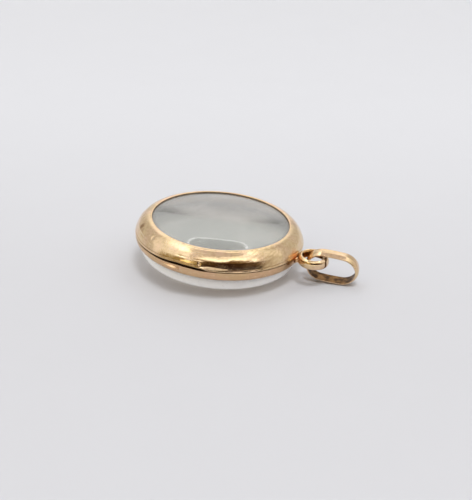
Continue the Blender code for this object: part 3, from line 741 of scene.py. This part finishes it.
class Recipe:
    """Adds the nodes of one node tree and links them. Its methods take sockets or plain values."""

    def __init__(self, tree):
        self.tree = tree

    def node(self, kind, inputs, output=0, **settings):
        """One output of a new node, with its settings made and its inputs linked or set."""
        node = self.tree.nodes.new("ShaderNode" + kind)
        for name, value in settings.items():
            setattr(node, name, value)
        for name, value in inputs.items():
            self.fill(node.inputs[name], value)
        return node.outputs[output]

    def fill(self, socket, value):
        """Links a socket to an input, or sets the input to a value. Colours are opaque."""
        if isinstance(value, bpy.types.NodeSocket):
            self.tree.links.new(value, socket)
        else:
            socket.default_value = (*value, 1.0) if socket.type == "RGBA" else value

    def math(self, operation, *values):
        return self.node("Math", dict(enumerate(values)), operation=operation)

    def times(self, first, second):
        return self.math("MULTIPLY", first, second)

    def plus(self, first, second):
        return self.math("ADD", first, second)

    def less(self, first, second):
        return self.math("SUBTRACT", first, second)

    def most(self, first, second):
        return self.math("MAXIMUM", first, second)

    def sloped(self, value, slope, start):
        return self.math("MULTIPLY_ADD", value, slope, start)

    def dot(self, vector, axis):
        return self.node("VectorMath", {0: vector, 1: axis}, "Value", operation="DOT_PRODUCT")

    def eased(self, value, low, high, at_low=0.0, at_high=1.0):
        """Goes smoothly from one value to another as the input passes from low to high."""
        values = dict(enumerate((value, low, high, at_low, at_high)))
        return self.node("MapRange", values, interpolation_type="SMOOTHSTEP")

    def near(self, place, middle, size):
        """1 at a middle point, going smoothly to 0 at a distance from it."""
        gap = self.node("VectorMath", {0: place, 1: middle}, "Value", operation="DISTANCE")
        return self.eased(gap, 0.15 * size, size, 1.0, 0.0)

    def away(self, value, middle, half):
        """How far a value lies from a middle, as a share of a half width, always positive."""
        return self.math("ABSOLUTE", self.math("DIVIDE", self.less(value, middle), half))

    def oval(self, first, second, middle, halves):
        """The two shares of away, squared and added: 1 all along an oval round the middle."""
        values = zip((first, second), middle, halves)
        return self.plus(*[self.math("POWER", self.away(*value), 2.0) for value in values])

    def blend(self, share, first, second):
        """One colour turning into another as the share goes from 0 to 1."""
        return self.node("Mix", {0: share, 6: first, 7: second}, 2, data_type="RGBA")

    def part(self, name, output):
        """What a piece keeps on its points."""
        return self.node("Attribute", {}, output, attribute_name=name)

    def cloud(self, place, size, detail=2.0, stretch=(1.0, 1.0, 1.0), turn=(0, 0, 0), shift=0.0):
        """Smooth noise in patches of about a size in millimetres, drawn out and turned if asked."""
        inputs = {
            "Vector": place,
            "Location": (shift, -shift, shift / 2),
            "Rotation": [math.radians(angle) for angle in turn],
            "Scale": [side * size for side in stretch],
        }
        moved = self.node("Mapping", inputs, vector_type="TEXTURE")
        return self.node("TexNoise", {"Vector": moved, "Scale": 1.0, "Detail": detail})

    def lines(self, place, size, turn, shift, width=0.012):
        """Hair scratches: where drawn-out noise passes its middle value, and only in patches."""
        wave = self.cloud(place, size, 1.0, (9.0, 1.0, 1.0), turn, shift)
        line = self.eased(self.away(wave, 0.5, 1.0), 0.0, width, 1.0, 0.0)
        patch = self.eased(self.cloud(place, 2.4, 1.0, shift=shift + 3.0), 0.48, 0.60)
        return self.times(line, patch)

    def specks(self, place, size, reach, patch_low, shift=0.0):
        """Small round spots, a reach across, scattered a size apart, and only in patches."""
        gap = self.node("TexVoronoi", {"Vector": place, "Scale": 1.0 / size}, "Distance")
        spot = self.eased(gap, reach * 0.6, reach, 1.0, 0.0)
        patch = self.eased(self.cloud(place, 1.9, 2.0, shift=shift), patch_low, patch_low + 0.08)
        return self.times(spot, patch)

    def bump(self, height):
        """A bump from a height in millimetres."""
        return self.node("Bump", {"Strength": 1.0, "Distance": MM, "Height": height})


def finish_of(name):
    """A new material, its recipe and its output."""
    made = bpy.data.materials.new(name)
    made.use_nodes = True
    made.node_tree.nodes.clear()
    output = made.node_tree.nodes.new("ShaderNodeOutputMaterial")
    return made, Recipe(made.node_tree), output.inputs["Surface"]


# Colours on the gold: wear, an orange-red tint, grime with painted shade in crevices, and the place
# and size of the brown sweep by the lug
MOTTLE = (0.55, 0.34, 0.17)
SCRATCH = (0.95, 0.80, 0.60)
ORANGE_RED_TINT = (0.80, 0.26, 0.05)
SWEEP = (0.60, 0.41, 0.21)
SWEEP_MIDDLE = (9.2, -6.4, 1.6)
SWEEP_SIZE = 6.0
GRIME_AND_SHADE_BROWN = (0.31, 0.165, 0.062)
DEEP_GRIME_AND_SHADE = (0.055, 0.028, 0.014)
# Colours of wear on the crystals, and of their grime with painted shade
GLASS_DUST = (0.30, 0.28, 0.26)
GLASS_GRIME_AND_SHADE = (0.10, 0.075, 0.06)


def worn_gold(name, ground, rose, gloss, dents, brushed, brush_turn, shift, marks=(), blush=None):
    """Old rose gold: cloudy colour, soft dents, brushed streaks, hair scratches, nicks, and grime
    with painted shade in its hollows.

    Gloss is the clean metal's roughness, and dents and brushed say how strong those are. A mark is
    its middle, size, depth and darkness. A blush, an orange-red tint, is its middle, size and
    strength.
    """
    made, recipe, surface = finish_of(name)
    own = recipe.part("own", 1)
    grime_and_shade = recipe.part("grime_and_shade", 2)
    patches = recipe.cloud(own, 2.6, 2.0, shift=shift)
    mottle = recipe.cloud(own, 0.42, 3.0, shift=shift + 7.0)
    tone = recipe.blend(recipe.eased(patches, 0.36, 0.66), ground, rose)
    tone = recipe.blend(recipe.eased(mottle, 0.46, 0.74, 0.0, 0.35), tone, MOTTLE)
    smear = recipe.cloud(own, 1.5, 3.0, (2.2, 1.0, 1.0), (0, 0, 25), shift + 2.0)
    smear = recipe.eased(smear, 0.46, 0.66)
    streak = recipe.cloud(own, 0.10, 2.0, (16.0, 1.0, 1.0), (0, 0, brush_turn), shift)
    brush_patch = recipe.cloud(own, 3.2, 1.0, shift=shift + 5.0)
    brush = recipe.times(streak, recipe.eased(brush_patch, 0.42, 0.60, 0.15, 1.0))
    brush = recipe.times(brush, brushed)
    scratch = recipe.lines(own, 0.8, (0, 0, 20), shift)
    for turn, extra in (((0, 20, 65), 4.0), ((15, 0, -40), 9.0)):
        scratch = recipe.most(scratch, recipe.lines(own, 0.9, turn, shift + extra))
    nick = recipe.specks(own, 1.1, 0.10, 0.56, shift)
    # Grime with painted shade in the hollows, gathered in patches, and darkened nicks
    gathered = recipe.eased(recipe.cloud(own, 0.90, 2.0, shift=shift), 0.30, 0.65, 0.68, 1.0)
    dirt_and_shade = recipe.most(recipe.times(grime_and_shade, gathered), recipe.times(nick, 0.7))
    pressed = 0.0
    for middle, size, depth, stain in marks:
        spot = recipe.near(own, middle, size)
        pressed = recipe.plus(pressed, recipe.times(spot, depth))
        dirt_and_shade = recipe.most(dirt_and_shade, recipe.times(spot, stain))
    tone = recipe.blend(recipe.times(scratch, 0.25), tone, SCRATCH)
    if blush:
        middle, size, share = blush
        tone = recipe.blend(recipe.times(recipe.near(own, middle, size), share), tone, ORANGE_RED_TINT)
        swept = recipe.cloud(own, 0.30, 1.5, (9.0, 1.0, 1.0), (0, -25, 58), shift + 8.0)
        swept = recipe.eased(swept, 0.42, 0.60)
        swept = recipe.times(swept, recipe.near(own, SWEEP_MIDDLE, SWEEP_SIZE))
        tone = recipe.blend(recipe.times(swept, 0.55), tone, SWEEP)
        pressed = recipe.plus(pressed, recipe.times(swept, 0.004))
    # Brown and near-black grime with painted shade
    tone = recipe.blend(recipe.eased(dirt_and_shade, 0.05, 0.5), tone, GRIME_AND_SHADE_BROWN)
    tone = recipe.blend(recipe.eased(dirt_and_shade, 0.45, 1.0), tone, DEEP_GRIME_AND_SHADE)
    rough = recipe.plus(gloss, recipe.times(smear, 0.09))
    rough = recipe.plus(rough, recipe.plus(recipe.times(brush, 0.12), recipe.times(scratch, 0.10)))
    rough = recipe.plus(rough, recipe.times(dirt_and_shade, 0.30))
    wave = recipe.times(recipe.cloud(own, 2.1, 1.0, shift=shift + 1.0), 0.055 * dents)
    ripple = recipe.times(recipe.cloud(own, 0.75, 1.0, shift=shift + 6.0), 0.010 * dents)
    cut = recipe.plus(recipe.times(scratch, -0.0012), recipe.times(nick, -0.012))
    height = recipe.plus(recipe.plus(wave, ripple), recipe.times(brush, 0.0022))
    height = recipe.plus(recipe.plus(height, cut), pressed)
    look = {
        "Base Color": tone,
        "Metallic": 1.0,
        "Roughness": rough,
        "Normal": recipe.bump(height),
    }
    recipe.fill(surface, recipe.node("BsdfPrincipled", look))
    return made


def old_crystal(name, tint, clear_share, gloss, haze, shade, shift):
    """An old crystal: thin haze, smears, hair scratches, specks of dust, and grime with painted
    shade round its edge.

    Clear_share says how much of the light goes through it, and shade is the colour of its shadow.
    """
    made, recipe, surface = finish_of(name)
    own = recipe.part("own", 1)
    grime_and_shade = recipe.part("grime_and_shade", 2)
    smear = recipe.cloud(own, 2.4, 3.0, (1.8, 1.0, 1.0), (0, 0, 30), shift)
    smear = recipe.eased(smear, 0.42, 0.70)
    dust = recipe.specks(own, 0.30, 0.20, 0.50, shift)
    dust = recipe.plus(dust, recipe.specks(own, 0.17, 0.22, 0.58, shift + 4.0))
    scratch = recipe.lines(own, 0.7, (0, 0, -15), shift, 0.010)
    # Grime and painted shade, gathered in patches
    gathered = recipe.eased(recipe.cloud(own, 0.5, 3.0, shift=shift), 0.30, 0.60, 0.5, 1.0)
    dirt_and_shade = recipe.times(grime_and_shade, gathered)
    tone = recipe.blend(recipe.times(smear, 0.35), tint, haze)
    tone = recipe.blend(recipe.times(dust, 0.35), tone, GLASS_DUST)
    tone = recipe.blend(dirt_and_shade, tone, GLASS_GRIME_AND_SHADE)
    clear = recipe.less(clear_share, recipe.times(smear, 0.06))
    clear = recipe.less(clear, recipe.times(dirt_and_shade, clear_share * 0.9))
    clear = recipe.most(recipe.less(clear, recipe.times(dust, 0.15)), 0.0)
    rough = recipe.plus(gloss, recipe.plus(recipe.times(smear, 0.035), recipe.times(dust, 0.15)))
    rough = recipe.plus(rough, recipe.times(dirt_and_shade, 0.4))
    height = recipe.times(recipe.cloud(own, 1.6, 1.0, shift=shift), 0.006)
    height = recipe.plus(height, recipe.times(dust, 0.004))
    height = recipe.plus(height, recipe.times(scratch, -0.0008))
    look = {
        "Base Color": tone,
        "Roughness": rough,
        "IOR": 1.6,
        "Transmission Weight": clear,
        "Normal": recipe.bump(height),
    }
    # Shadow rays and diffuse rays go straight through, tinted by the shade
    rays = [recipe.node("LightPath", {}, name) for name in ("Is Shadow Ray", "Is Diffuse Ray")]
    through = recipe.node("BsdfTransparent", {"Color": shade})
    mix = {0: recipe.most(*rays), 1: recipe.node("BsdfPrincipled", look), 2: through}
    recipe.fill(surface, recipe.node("MixShader", mix))
    return made


GROUND = (0.80, 0.60, 0.355)
ROSE = (0.82, 0.585, 0.385)
# Marks: middle, size and depth in millimetres, and how dark
# On the front, two dark patches on the rim by the window, and three small dents
FRONT_MARKS = (
    ((-9.53, -6.86, 1.54), 0.95, 0.0, 0.42),
    ((-9.05, -7.70, 1.50), 0.70, 0.0, 0.25),
    ((-6.34, -9.77, 1.65), 0.45, -0.075, 0.0),
    ((1.92, -12.12, 0.79), 0.30, -0.060, 0.1),
    ((-1.40, -10.20, 2.33), 0.28, -0.050, 0.2),
)
# On the back, two small dents whose darkness is painted: grime and painted shade at the lug's root,
# and a painted shadow under the end of the back thumb lip
BACK_DENTS_AND_SHADE = (
    ((12.40, -1.4, -0.62), 0.35, -0.03, 0.9),
    ((-1.54, -12.5, -0.80), 0.33, -0.05, 0.9),
)
front_gold = worn_gold(
    "front_gold",
    ground=GROUND,
    rose=ROSE,
    gloss=0.13,
    dents=1.0,
    brushed=1.0,
    brush_turn=32,
    shift=0.0,
    marks=FRONT_MARKS,
    blush=((12.45, -1.5, 0.1), 1.7, 0.65),
)
# The back's gold is darker and more orange than the front's; its darkness is painted shade, for the
# shaded floor it reflects
back_gold = worn_gold(
    "back_gold",
    ground=(0.68, 0.46, 0.25),
    rose=(0.72, 0.46, 0.28),
    gloss=0.15,
    dents=0.6,
    brushed=0.6,
    brush_turn=12,
    shift=13.0,
    marks=BACK_DENTS_AND_SHADE,
    blush=((12.5, -1.4, -0.1), 1.0, 0.3),
)
eye_gold = worn_gold(
    "eye_gold",
    ground=GROUND,
    rose=ROSE,
    gloss=0.12,
    dents=0.5,
    brushed=0.2,
    brush_turn=12,
    shift=53.0,
    blush=((13.3, 0.5, -0.4), 1.0, 0.5),
)
bail_gold = worn_gold(
    "bail_gold",
    ground=(0.76, 0.56, 0.33),
    rose=(0.78, 0.555, 0.36),
    gloss=0.14,
    dents=0.20,
    brushed=0.10,
    brush_turn=4,
    shift=29.0,
)
pin_gold = worn_gold(
    "pin_gold",
    ground=(0.74, 0.56, 0.34),
    rose=GROUND,
    gloss=0.22,
    dents=0.3,
    brushed=0.5,
    brush_turn=-18,
    shift=41.0,
)
front_glass = old_crystal(
    "front_glass",
    tint=(0.475, 0.485, 0.475),
    clear_share=0.80,
    gloss=0.015,
    haze=(0.64, 0.625, 0.61),
    shade=(0.90, 0.90, 0.89),
    shift=3.0,
)
back_glass = old_crystal(
    "back_glass",
    tint=(1.0, 1.0, 1.0),
    clear_share=0.06,
    gloss=0.10,
    haze=(0.99, 0.99, 1.0),
    shade=(0.96, 0.92, 0.88),
    shift=17.0,
)

back_middle = FRONT_KNUCKLE_LENGTH / 2 + KNUCKLE_GAP + BACK_KNUCKLE_LENGTH / 2
front_nib = nib(
    FRONT_NIB_AZIMUTH,
    FRONT_NIB_HALF_ANGLE,
    peak=-0.25,
    skin=CASE_RADIUS,
    reach=0.33,
    foot=0.22,
    edge=0.33,
    wall=0.08,
    rise=0.13,
)
back_nib = nib(
    BACK_NIB_AZIMUTH,
    BACK_NIB_HALF_ANGLE,
    peak=0.5,
    skin=BACK_TOP_RADIUS,
    reach=0.38,
    foot=-0.95,
    edge=-0.68,
    wall=0.12,
    rise=0.26,
)
front_tube = hinge_tube(0.0, FRONT_KNUCKLE_LENGTH)
front_strap = hinge_tongue(0.0, FRONT_KNUCKLE_LENGTH, FRONT_TONGUE_BITE, 1)
# Name, points and grime with painted shade, finish, whether the last row joins the first, way into
# place, CAD node
PIECES = [
    ("front_bezel_frame", front_frame(), front_gold, True, in_case, "front_bezel"),
    ("front_thumb_lip", front_nib, front_gold, False, in_case, None),
    ("front_knuckle", front_tube, front_gold, True, in_case, None),
    ("front_tongue", front_strap, front_gold, False, in_case, None),
    ("front_dome", front_glass_points(), front_glass, False, in_case, "front_crystal"),
    ("back_bezel_frame", back_frame(), back_gold, True, in_case, "back_bezel"),
    ("back_thumb_lip", back_nib, back_gold, False, in_case, None),
    ("eye", eye_points(), eye_gold, True, in_case, None),
    ("lug", lug_points(), back_gold, False, in_case, None),
    ("back_dome", back_glass_points(), back_glass, False, in_case, "back_crystal"),
    ("pin", pin_points(), pin_gold, False, in_case, "hinge_pin"),
    ("bail_link", bail_points(), bail_gold, True, in_bail, "bail"),
]
for side_name, side in (("left", -1), ("right", 1)):
    tube = hinge_tube(side * back_middle, BACK_KNUCKLE_LENGTH)
    tongue = hinge_tongue(side * back_middle, BACK_KNUCKLE_LENGTH, BACK_TONGUE_BITE, -1)
    PIECES.append((side_name + "_knuckle", tube, back_gold, True, in_case, None))
    PIECES.append((side_name + "_tongue", tongue, back_gold, False, in_case, None))

for name, (points, grime_and_shade), finish, wrap_rows, place, node in PIECES:
    piece = shell(name, points, grime_and_shade, finish, wrap_rows, place)
    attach(piece, "front_half" if name.startswith("front") else "back_half")
    if node:
        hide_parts(node)

# Floor, a sheet of paper
FLOOR_ENDS = (-0.7, 0.7)
floor_mesh = bpy.data.meshes.new("floor")
floor_corners = [(x, y, 0.0) for y in FLOOR_ENDS for x in FLOOR_ENDS]
floor_mesh.from_pydata(floor_corners, [], [(0, 1, 3, 2)])
floor = bpy.data.objects.new("floor", floor_mesh)
bpy.context.scene.collection.objects.link(floor)
paper, recipe, surface = finish_of("paper")
sheet = recipe.node("TexCoord", {}, "Object")
grain = recipe.cloud(sheet, 0.012, 3.0)
# Painted shade: the paper turns darker from behind the locket towards the camera
near = recipe.eased(recipe.dot(sheet, LEVEL), 0.09, -0.03)
cream = recipe.blend(near, (0.640, 0.645, 0.690), (0.568, 0.568, 0.606))
fibre = recipe.blend(near, (0.652, 0.657, 0.703), (0.579, 0.579, 0.618))
look = {"Base Color": recipe.blend(grain, cream, fibre), "Roughness": 0.9}
recipe.fill(surface, recipe.node("BsdfPrincipled", look))
floor_mesh.materials.append(paper)

# Light: a pale tent with a dark opening overhead, edged by a bright line, and a dim room behind
# the camera. Directions are in degrees: "over" goes from 0 at the far horizon through 90 overhead
# to 180 behind the camera, and "aside" goes to the right.
world = bpy.data.worlds.new("tent")
bpy.context.scene.world = world
world.use_nodes = True
sky = Recipe(world.node_tree)
background = world.node_tree.nodes["Background"]
towards = sky.node("TexCoord", {}, "Generated")
turns = sky.math("ARCTAN2", sky.dot(towards, (0.0, 0.0, 1.0)), sky.dot(towards, LEVEL))
over = sky.times(turns, 180 / math.pi)
aside = sky.times(sky.math("ARCSINE", sky.dot(towards, RIGHT)), 180 / math.pi)

# The tent: two walls that meet in an arch, greyer at the sides and paler overhead
ARCH_TOP = 31.3
arch = sky.math("POWER", sky.away(aside, 2.5, 1.0), 2.0)
arch = sky.sloped(arch, -0.062, ARCH_TOP)
past_arch = sky.less(over, arch)
far_share = sky.eased(over, 0.0, 30.0)
far_wall = sky.blend(far_share, (0.95, 0.93, 0.92), (1.25, 1.19, 1.17))
near_share = sky.eased(over, 28.0, 42.0)
near_wall = sky.blend(near_share, (1.15, 1.16, 1.13), (1.42, 1.43, 1.39))
colour = sky.blend(sky.eased(past_arch, -1.5, 1.5), far_wall, near_wall)
beside = sky.eased(sky.away(aside, 0.0, 1.0), 10.0, 27.0)
colour = sky.blend(beside, colour, (0.64, 0.63, 0.605))
colour = sky.blend(sky.eased(over, 54.0, 76.0), colour, (1.05, 1.06, 1.04))

# A dark line under the arch on both sides
stain = sky.eased(sky.away(aside, 2.0, 1.0), 4.0, 12.0)
stain = sky.times(stain, sky.eased(past_arch, 1.0, -1.0))
stain = sky.times(stain, sky.eased(past_arch, -9.0, -1.0))
colour = sky.blend(sky.times(stain, 0.9), colour, (0.05, 0.04, 0.04))

# The opening: how far inside its nearest edge a direction lies, in degrees, with its corners eased
near_edge = sky.less(sky.sloped(aside, -0.75, 113.5), over)
left_edge = sky.plus(aside, sky.sloped(over, 0.34, 4.3 - 47.0 * 0.34))
right_edge = sky.less(sky.sloped(over, 0.34, 9.9 - 46.0 * 0.34), aside)
depth = sky.math("SMOOTH_MIN", sky.less(over, 45.0), near_edge, 2.0)
depth = sky.math("SMOOTH_MIN", depth, sky.math("SMOOTH_MIN", left_edge, right_edge, 2.0), 2.5)

# A glow round the opening
halo = sky.times(depth, sky.eased(aside, -4.0, 10.0, 1.0, 2.6))
glow = sky.times(sky.eased(halo, -24.0, -2.0), sky.eased(over, 52.0, 74.0))
glow = sky.times(glow, sky.eased(over, 94.0, 106.0, 1.0, 0.15))

# The room behind the camera, with one lamp in it and a glow along its edge
dark_share = sky.eased(over, 126.0, 164.0)
dark = sky.blend(dark_share, (0.22, 0.13, 0.05), (0.022, 0.007, 0.002))
room = sky.blend(sky.eased(aside, -24.0, -14.0), (0.34, 0.25, 0.09), dark)
room = sky.blend(sky.eased(aside, 54.0, 66.0), room, (0.5, 0.45, 0.38))
lamp = sky.oval(over, aside, (146.0, -34.0), (11.0, 9.0))
room = sky.blend(sky.eased(lamp, 0.4, 1.4, 1.0, 0.0), room, (1.9, 1.6, 0.9))
room_edge = sky.sloped(aside, 0.3, 134.0)
room_left = sky.sloped(aside, -0.85, 140.2)
room_edge = sky.math("SMOOTH_MIN", room_left, room_edge, 5.0)
room_right = sky.sloped(aside, 0.45, 106.5)
room_edge = sky.math("SMOOTH_MAX", room_right, room_edge, 3.0)
behind = sky.less(over, room_edge)
rim_glow = sky.eased(sky.away(aside, 12.0, 1.0), 30.0, 48.0, 0.95, 0.15)
rim_glow = sky.times(sky.eased(behind, -19.0, -4.0), rim_glow)
colour = sky.blend(sky.most(glow, rim_glow), colour, (2.4, 2.4, 2.3))
lee = sky.times(sky.eased(aside, 42.0, 58.0), sky.eased(over, 78.0, 96.0))
colour = sky.blend(lee, colour, (0.72, 0.70, 0.66))
in_room = sky.times(sky.eased(behind, -3.0, 5.0), sky.eased(over, 174.0, 179.0, 1.0, 0.0))
in_room = sky.times(in_room, sky.eased(aside, 62.0, 76.0, 1.0, 0.0))
colour = sky.blend(in_room, colour, room)

# What shows in the opening, the bright line along its edge and a glint at two of its corners
in_opening = sky.eased(over, 52.0, 56.0)
opening = sky.blend(in_opening, (0.10, 0.10, 0.10), (1.9, 1.9, 1.85))
opening = sky.blend(sky.eased(over, 58.0, 68.0), opening, (0.70, 0.67, 0.67))
colour = sky.blend(sky.eased(depth, -0.3, 1.0), colour, opening)
edge = sky.times(sky.eased(depth, -0.5, -0.1), sky.eased(depth, 0.1, 0.5, 1.0, 0.0))
colour = sky.blend(edge, colour, (3.6, 3.6, 3.5))
for middle in ((47.2, 10.3), (48.4, -4.6)):
    glint = sky.eased(sky.oval(over, aside, middle, (0.8, 0.5)), 0.3, 1.2, 1.0, 0.0)
    colour = sky.blend(glint, colour, (5.0, 5.0, 5.0))

# Below the horizon, and what the camera sees itself
colour = sky.blend(sky.eased(over, -2.0, 2.0), (0.72, 0.72, 0.73), colour)
seen = sky.node("LightPath", {}, "Is Camera Ray")
sky.fill(background.inputs["Color"], sky.blend(seen, colour, (0.80, 0.80, 0.82)))

key_data = bpy.data.lights.new("key", "AREA")
key_data.shape = "DISK"
key_data.size = 0.26
key_data.energy = 3.0
key_data.color = (0.95, 0.985, 1.0)
key = bpy.data.objects.new("key", key_data)
bpy.context.scene.collection.objects.link(key)
KEY_DISTANCE = 0.92
KEY_OVER = math.radians(110.0)
KEY_ASIDE = math.radians(5.0)
key_way = RIGHT * math.sin(KEY_ASIDE) + math.cos(KEY_ASIDE) * (
    LEVEL * math.cos(KEY_OVER) + np.array([0.0, 0.0, math.sin(KEY_OVER)])
)
key.location = key_way * KEY_DISTANCE
key.rotation_mode = "QUATERNION"
key.rotation_quaternion = Vector(key_way).to_track_quat("Z", "Y")
key.visible_glossy = False
bpy.context.scene.view_settings.view_transform = "Standard"

# Camera
sine, cosine = math.sin(CAMERA_ELEVATION), math.cos(CAMERA_ELEVATION)
ahead = LEVEL * cosine - np.array([0.0, 0.0, sine])
above = LEVEL * sine + np.array([0.0, 0.0, cosine])
rolled_right = math.cos(CAMERA_ROLL) * RIGHT + math.sin(CAMERA_ROLL) * above
rolled_up = math.cos(CAMERA_ROLL) * above - math.sin(CAMERA_ROLL) * RIGHT
off_right = (SEAM_PIXEL[0] - FRAME_CENTRE[0]) / FOCAL_PIXELS * CAMERA_DISTANCE
off_up = (FRAME_CENTRE[1] - SEAM_PIXEL[1]) / FOCAL_PIXELS * CAMERA_DISTANCE
camera_place = SEAM_CENTRE - off_right * rolled_right - off_up * rolled_up
camera_place = camera_place - CAMERA_DISTANCE * ahead
camera_data = bpy.data.cameras.new("camera")
camera_data.sensor_fit = "HORIZONTAL"
camera_data.sensor_width = SENSOR_WIDTH
camera_data.lens = FOCAL_PIXELS / FRAME_WIDTH * SENSOR_WIDTH
camera_data.clip_start = 0.005
camera_data.clip_end = 20.0
camera = bpy.data.objects.new("camera", camera_data)
bpy.context.scene.collection.objects.link(camera)
turn = np.eye(4)
turn[:3, 0] = rolled_right
turn[:3, 1] = rolled_up
turn[:3, 2] = -ahead
turn[:3, 3] = camera_place * MM
camera.matrix_world = turn.T.tolist()
bpy.context.scene.camera = camera
